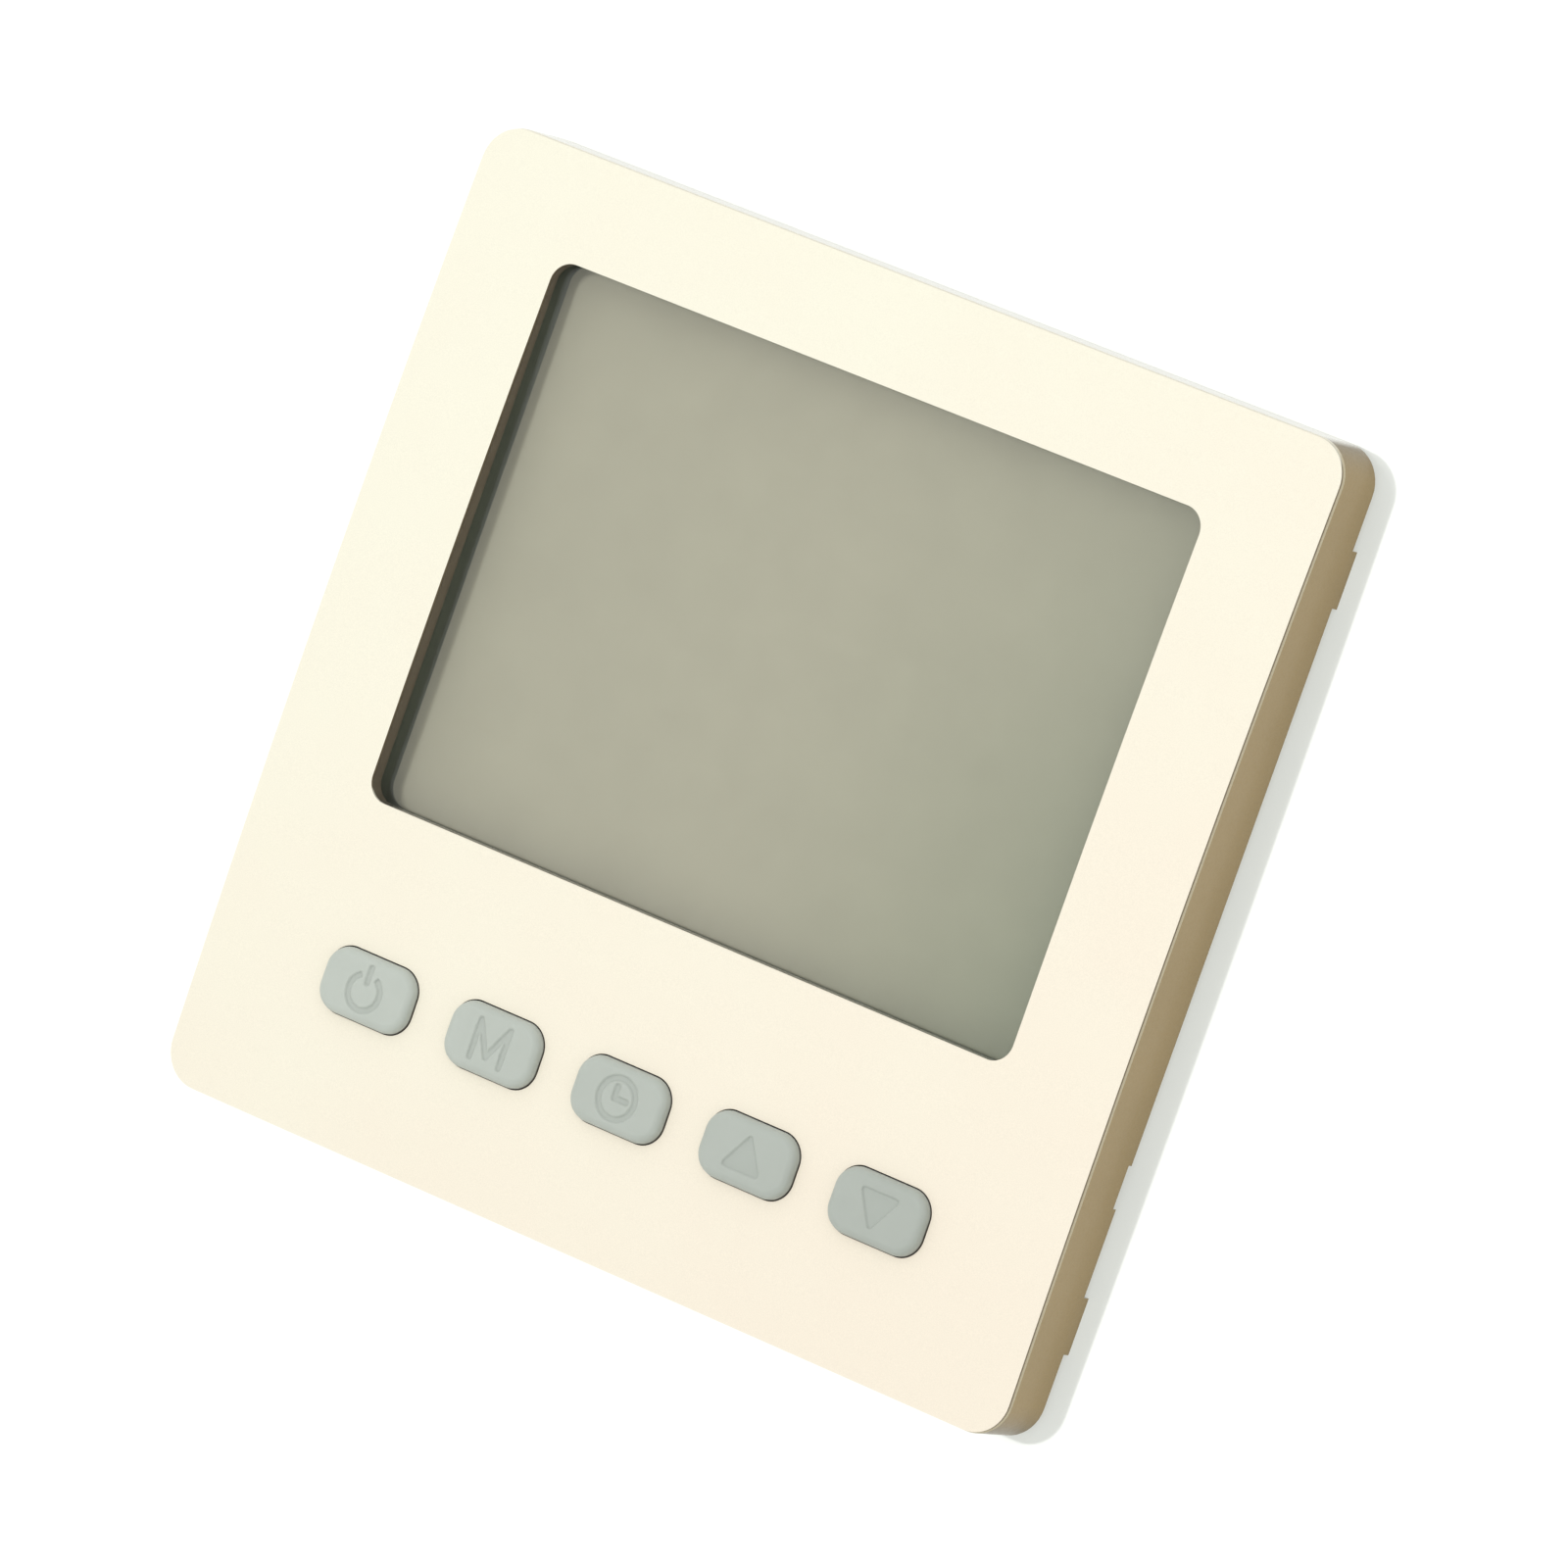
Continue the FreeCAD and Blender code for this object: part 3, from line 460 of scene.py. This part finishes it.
families = {"terminal_cage": cage_zinc, "terminal_screw": screw_zinc, "pill_": carbon,
            "key_": grey_silicone}
for name, obj in nodes.items():
    for start, finish in families.items():
        if name.startswith(start):
            finishes[name] = finish
    obj.data.materials.clear()
    obj.data.materials.append(finishes[name])


# ---- pieces made here ----------------------------------------------------------------
def new_piece(name, bm, material, body, node):
    """Turn the mesh into a piece that rides on a body and stands for a CAD node."""
    mesh = bpy.data.meshes.new(name)
    bm.to_mesh(mesh)
    bm.free()
    mesh.materials.append(material)
    piece = bpy.data.objects.new(name, mesh)
    bpy.context.scene.collection.objects.link(piece)
    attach(piece, body)
    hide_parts(node)
    return piece


# ---- keys: crowned silicone caps with sunk symbols ------------------------------------
cap_size = (9.06 * MM, 5.76 * MM)
cap_corner = 2.08 * MM
crown = 0.1 * MM                 # rise of the cap's middle over its shoulder
shoulder = 0.75 * MM             # width of the rolled edge
roll = 0.62 * MM                 # how far the rolled edge drops
shown = 0.88 * MM                # depth of the cap that light reaches; deeper, the cap gets painted shade
shown_fade = 0.1 * MM
skirt_fillet = 0.15 * MM         # where the cap's side meets the flange
skirt_foot = 0.04 * MM
flange_thick = 0.7 * MM
flange_width = 0.6 * MM          # how far the flange stands out past the cap
flange_edge = 0.05 * MM
cap_columns, cap_rows = 104, 68
symbol_depth = 0.16 * MM
stroke_half = 0.21 * MM
stroke_fade = 0.1 * MM
far_away = 1.0                   # a distance that no stroke reaches


def rounded_distance(x, y, size, radius):
    """Distance inside a rounded rectangle's edge; negative outside."""
    qx = abs(x) - (size[0] / 2 - radius)
    qy = abs(y) - (size[1] / 2 - radius)
    outside = math.hypot(max(qx, 0.0), max(qy, 0.0))
    return radius - outside - min(max(qx, qy), 0.0)


def segment_distance(x, y, a, b):
    """Distance from (x, y) to the line from a to b."""
    ax, ay = a
    dx, dy = b[0] - ax, b[1] - ay
    t = max(0.0, min(1.0, ((x - ax) * dx + (y - ay) * dy) / (dx * dx + dy * dy)))
    return math.hypot(x - ax - t * dx, y - ay - t * dy)


def lines_distance(x, y, points):
    return min(segment_distance(x, y, a, b) for a, b in zip(points, points[1:]))


def scaled(*points):
    """Points given in millimetres."""
    return [(px * MM, py * MM) for px, py in points]


def power_symbol(x, y):
    """Ring open at the top, with a bar in the opening."""
    ring_y = y + 0.25 * MM
    ring_r = 1.55 * MM
    half_opening = 0.5           # radians
    ring = abs(math.hypot(x, ring_y) - ring_r)
    if abs(math.atan2(x, ring_y)) < half_opening:
        ring = far_away
    return min(ring, lines_distance(x, y, scaled((0, 0.6), (0, 1.9))))


def mode_symbol(x, y):
    """Letter M."""
    return lines_distance(x, y, scaled((-1.5, -1.62), (-1.5, 1.62), (0, -1.2), (1.5, 1.62), (1.5, -1.62)))


def clock_symbol(x, y):
    """Ring with two hands."""
    ring_r = 1.75 * MM
    ring = abs(math.hypot(x, y) - ring_r)
    return min(ring, lines_distance(x, y, scaled((-0.25, 1.0), (-0.25, 0), (0.95, 0))))


def triangle_symbol(way):
    """Filled triangle that points up for way 1 and down for way -1."""
    half_base, half_height = 1.55, 1.3 * way
    corners = scaled((-half_base, -half_height), (0, half_height), (half_base, -half_height),
                     (-half_base, -half_height))

    def side_of(x, y, a, b):
        return ((b[0] - a[0]) * (y - a[1]) - (b[1] - a[1]) * (x - a[0])) * way

    def distance(x, y):
        inside = all(side_of(x, y, a, b) <= 0 for a, b in zip(corners, corners[1:]))
        return 0.0 if inside else lines_distance(x, y, corners)
    return distance


def symbol_strength(distance):
    """1 in a stroke, 0 outside it, with a smooth step between."""
    t = (stroke_half + stroke_fade - distance) / stroke_fade
    t = max(0.0, min(1.0, t))
    return t * t * (3 - 2 * t)


def cap_height(x, y, symbol):
    """Height of the cap's skin over its shoulder line, and how much of a symbol is here."""
    inside = rounded_distance(x, y, cap_size, cap_corner)
    u = max(0.0, min(1.0, inside / shoulder))
    edge = -roll * (1 - math.sqrt(max(0.0, 1 - (1 - u) ** 2)))
    nx, ny = 2 * x / cap_size[0], 2 * y / cap_size[1]
    dome = crown * (1 - 0.5 * (nx * nx + ny * ny))
    mark = symbol_strength(symbol(x, y))
    return edge + dome - crown - symbol_depth * mark, mark


def outline_point(dx, dy):
    """Where the ray from the middle towards (dx, dy) leaves the cap's outline."""
    halvings = 30
    low, high = 0.0, 2.0
    for _ in range(halvings):
        t = (low + high) / 2
        if rounded_distance(dx * t, dy * t, cap_size, cap_corner) > 0:
            low = t
        else:
            high = t
    return dx * low, dy * low


def cap_point(i, j):
    """Grid point (i, j) laid out so that the grid's border follows the cap's outline."""
    u, v = 2 * i / cap_columns - 1, 2 * j / cap_rows - 1
    reach = max(abs(u), abs(v))
    if reach == 0:
        return 0.0, 0.0
    edge_x, edge_y = outline_point(u / reach * cap_size[0] / 2, v / reach * cap_size[1] / 2)
    return edge_x * reach, edge_y * reach


def cap_skin(bm, middle, top, symbol):
    """Front of a cap with its symbol; gives the loop of vertices round its border."""
    mark_layer = bm.verts.layers.float["symbol"]
    grid = {}
    for i in range(cap_columns + 1):
        for j in range(cap_rows + 1):
            x, y = cap_point(i, j)
            height, mark = cap_height(x, y, symbol)
            grid[i, j] = bm.verts.new((middle.x + x, top - height, middle.z + y))
            grid[i, j][mark_layer] = mark
    for i in range(cap_columns):
        for j in range(cap_rows):
            bm.faces.new((grid[i, j], grid[i + 1, j], grid[i + 1, j + 1], grid[i, j + 1]))
    border = ([(i, 0) for i in range(cap_columns)]
              + [(cap_columns, j) for j in range(cap_rows)]
              + [(i, cap_rows) for i in range(cap_columns, 0, -1)]
              + [(0, j) for j in range(cap_rows, 0, -1)])
    return [grid[key] for key in border]


def cap_sides(bm, middle, top, rear, ring):
    """Side, flange and back of a cap, from its border backwards."""
    gap_shade_layer = bm.verts.layers.float["painted_gap_shade"]
    flange_front = rear - flange_thick
    flange_inner = flange_width - flange_edge
    # how far out, at what depth, and whether light fails to reach it so that the cap gets painted shade
    steps = [(0.0, top + shown, 0.0),
             (0.0, top + shown + shown_fade, 1.0),
             (0.0, flange_front - skirt_fillet, 1.0),
             (skirt_fillet / 3, flange_front - skirt_foot, 1.0),
             (skirt_fillet * 2, flange_front, 1.0),
             (flange_inner, flange_front, 1.0),
             (flange_width, flange_front + flange_edge, 0.0),
             (flange_width, rear - flange_edge, 0.0),
             (flange_inner, rear, 0.0)]
    outline = [(v.co.x - middle.x, v.co.z - middle.z) for v in ring]
    for out_by, depth, shade in steps:
        stretch_x = 1 + 2 * out_by / cap_size[0]
        stretch_y = 1 + 2 * out_by / cap_size[1]
        fresh = []
        for x, y in outline:
            vert = bm.verts.new((middle.x + x * stretch_x, depth, middle.z + y * stretch_y))
            vert[gap_shade_layer] = shade
            fresh.append(vert)
        for k in range(len(ring)):
            m = (k + 1) % len(ring)
            bm.faces.new((ring[m], ring[k], fresh[k], fresh[m]))
        ring = fresh
    bm.faces.new(list(reversed(ring)))


def key_cap(label, symbol):
    """One key: its cap with a symbol, its side and its flange."""
    node = "key_" + label
    low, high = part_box(node)
    middle = (low + high) / 2
    bm = bmesh.new()
    bm.verts.layers.float.new("symbol")
    bm.verts.layers.float.new("painted_gap_shade")
    border = cap_skin(bm, middle, low.y, symbol)
    cap_sides(bm, middle, low.y, high.y, border)
    bmesh.ops.recalc_face_normals(bm, faces=bm.faces)
    cap = new_piece(label + "_key_cap", bm, grey_silicone, label + "_key", node)
    for polygon in cap.data.polygons:
        polygon.use_smooth = True


key_cap("power", power_symbol)
key_cap("mode", mode_symbol)
key_cap("clock", clock_symbol)
key_cap("up", triangle_symbol(1))
key_cap("down", triangle_symbol(-1))


# ---- display layers: clear panes with ground edges, and the film with its dark border behind ---
layer_gap = 0.01 * MM            # air left behind each pane
film_bevel = 0.03 * MM
glass_bevel = 0.08 * MM
arris = 0.35                     # share of a bevel at which it turns
border_inset = 0.2 * MM           # the face that carries the dark border stops just short of the glass edge
border_lift = 0.025 * MM          # that face lies this far in front of the film


def stacked(name, node, outlines):
    """Closed flat piece through a stack of rectangles, each a box drawn in by an inset."""
    rings = []
    bm = bmesh.new()
    for (low, high), inset_by, depth in outlines:
        x0, x1 = low.x + inset_by, high.x - inset_by
        z0, z1 = low.z + inset_by, high.z - inset_by
        rings.append([bm.verts.new((x, depth, z)) for x, z in ((x0, z0), (x1, z0), (x1, z1), (x0, z1))])
    bm.faces.new(rings[0])
    for a, b in zip(rings, rings[1:]):
        for k in range(4):
            m = (k + 1) % 4
            bm.faces.new((a[k], b[k], b[m], a[m]))
    bm.faces.new(list(reversed(rings[-1])))
    piece = new_piece(name, bm, finishes[node], "front_unit", node)
    return piece


def pane(name, node, bevel, rear):
    """Clear layer that lets light in unhindered, so that the display behind stays bright."""
    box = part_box(node)
    front = box[0].y
    outlines = [(box, bevel, front), (box, arris * bevel, front + arris * bevel),
                (box, 0.0, front + bevel), (box, 0.0, rear - bevel), (box, bevel, rear)]
    piece = stacked(name, node, outlines)
    piece.visible_shadow = False
    piece.visible_diffuse = False


film_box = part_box("lcd_rear_polariser")
film_front, film_back = film_box[0].y, film_box[1].y
glass_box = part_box("lcd_rear_glass")
border_y = film_front - border_lift
pane("front_polariser_sheet", "lcd_front_polariser", film_bevel,
     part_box("lcd_front_glass")[0].y - layer_gap)
pane("front_glass_pane", "lcd_front_glass", glass_bevel, glass_box[0].y - layer_gap)
pane("rear_glass_pane", "lcd_rear_glass", glass_bevel, border_y - layer_gap)
stacked("film_sheet", "lcd_rear_polariser",
        [(glass_box, border_inset, border_y), (glass_box, border_inset, film_front),
         (film_box, 0.0, film_front), (film_box, 0.0, film_back)])


# ---- stage: a white wall and a pale floor, each seen only from its front -----------------
stage_half = 1.5
floor_z = -0.35
wall_y = 0.02 * MM


def backdrop_finish(name, colour, glow):
    """Paint with a little light of its own; it casts no shadow and is clear from behind."""
    mat, tree = new_material(name)
    mottled = times(tree, colour, spread(tree, noise(tree, 2 * MM, detail=2.0), 0.99, 1.01))
    paint = add(tree, "BsdfDiffuse", Color=mottled)
    own_light = add(tree, "Emission", Color=(0.975, 1.0, 0.94), Strength=glow)
    lit = add(tree, "AddShader")
    tree.links.new(paint.outputs[0], lit.inputs[0])
    tree.links.new(own_light.outputs[0], lit.inputs[1])
    behind = add(tree, "NewGeometry").outputs["Backfacing"]
    shadow = add(tree, "LightPath").outputs["Is Shadow Ray"]
    unseen = math_node(tree, "MAXIMUM", behind, shadow)
    mat.cycles.emission_sampling = "NONE"
    return surface(mat, mix_shaders(tree, unseen, lit, add(tree, "BsdfTransparent")))


def sheet(name, corners, material):
    mesh = bpy.data.meshes.new(name)
    mesh.from_pydata(corners, [], [(0, 1, 2, 3)])
    mesh.materials.append(material)
    obj = bpy.data.objects.new(name, mesh)
    bpy.context.scene.collection.objects.link(obj)
    return obj


wall = sheet("wall", [(-stage_half, wall_y, floor_z), (stage_half, wall_y, floor_z),
                      (stage_half, wall_y, stage_half), (-stage_half, wall_y, stage_half)],
             backdrop_finish("wall_paint", (0.3, 0.305, 0.3), glow=0.5))
sheet("floor", [(-stage_half, -stage_half, floor_z), (stage_half, -stage_half, floor_z),
                (stage_half, stage_half, floor_z), (-stage_half, stage_half, floor_z)],
      backdrop_finish("floor_paint", (0.81, 0.815, 0.81), glow=0.0))


# ---- light ---------------------------------------------------------------------------------
def sun(name, towards, strength, degrees_across):
    """Distant soft light; towards points from the object to the light."""
    data = bpy.data.lights.new(name, "SUN")
    data.energy = strength
    data.angle = math.radians(degrees_across)
    lamp = bpy.data.objects.new(name, data)
    lamp.rotation_mode = "QUATERNION"
    lamp.rotation_quaternion = Vector(towards).to_track_quat("Z", "Y")
    bpy.context.scene.collection.objects.link(lamp)
    return lamp


sun("key_light", towards=(-0.245, -0.966, 0.08), strength=1.0, degrees_across=8.0)

# the wall has a light of its own, so that the shadow on it is crisp and even
wall_only = bpy.data.collections.new("wall_only")
wall_only.objects.link(wall)
wall_light = sun("wall_light", towards=(-0.24, -0.97, 0.02), strength=3.0, degrees_across=2.0)
wall_light.light_linking.receiver_collection = wall_only

world = bpy.data.worlds.new("studio")
world.use_nodes = True
sky = world.node_tree.nodes["Background"]
feed(world.node_tree, sky.inputs["Color"], (0.98, 1.0, 0.995))
feed(world.node_tree, sky.inputs["Strength"], 1.12)
world.cycles.sampling_method = "NONE"
bpy.context.scene.world = world
bpy.context.scene.view_settings.view_transform = "Standard"

# ---- camera: from the right and a little above, tilted -------------------------------------
view_azimuth = 28.223            # this and the next two in degrees
view_elevation = 5.4655
view_tilt = 19.5794
view_distance = 0.97694
view_middle = (0.432 * MM, 0.0, -0.47 * MM)

camera_data = bpy.data.cameras.new("camera")
camera_data.lens = 270.0
camera_data.sensor_width = 36.0
camera_data.clip_start = 0.01
camera_data.clip_end = 20.0
camera = bpy.data.objects.new("camera", camera_data)
turn = (Matrix.Rotation(math.radians(view_azimuth), 4, "Z")
        @ Matrix.Rotation(math.radians(90 - view_elevation), 4, "X")
        @ Matrix.Rotation(math.radians(view_tilt), 4, "Z"))
camera.matrix_world = (Matrix.Translation(view_middle) @ turn
                       @ Matrix.Translation((0, 0, view_distance)))
bpy.context.scene.collection.objects.link(camera)
bpy.context.scene.camera = camera
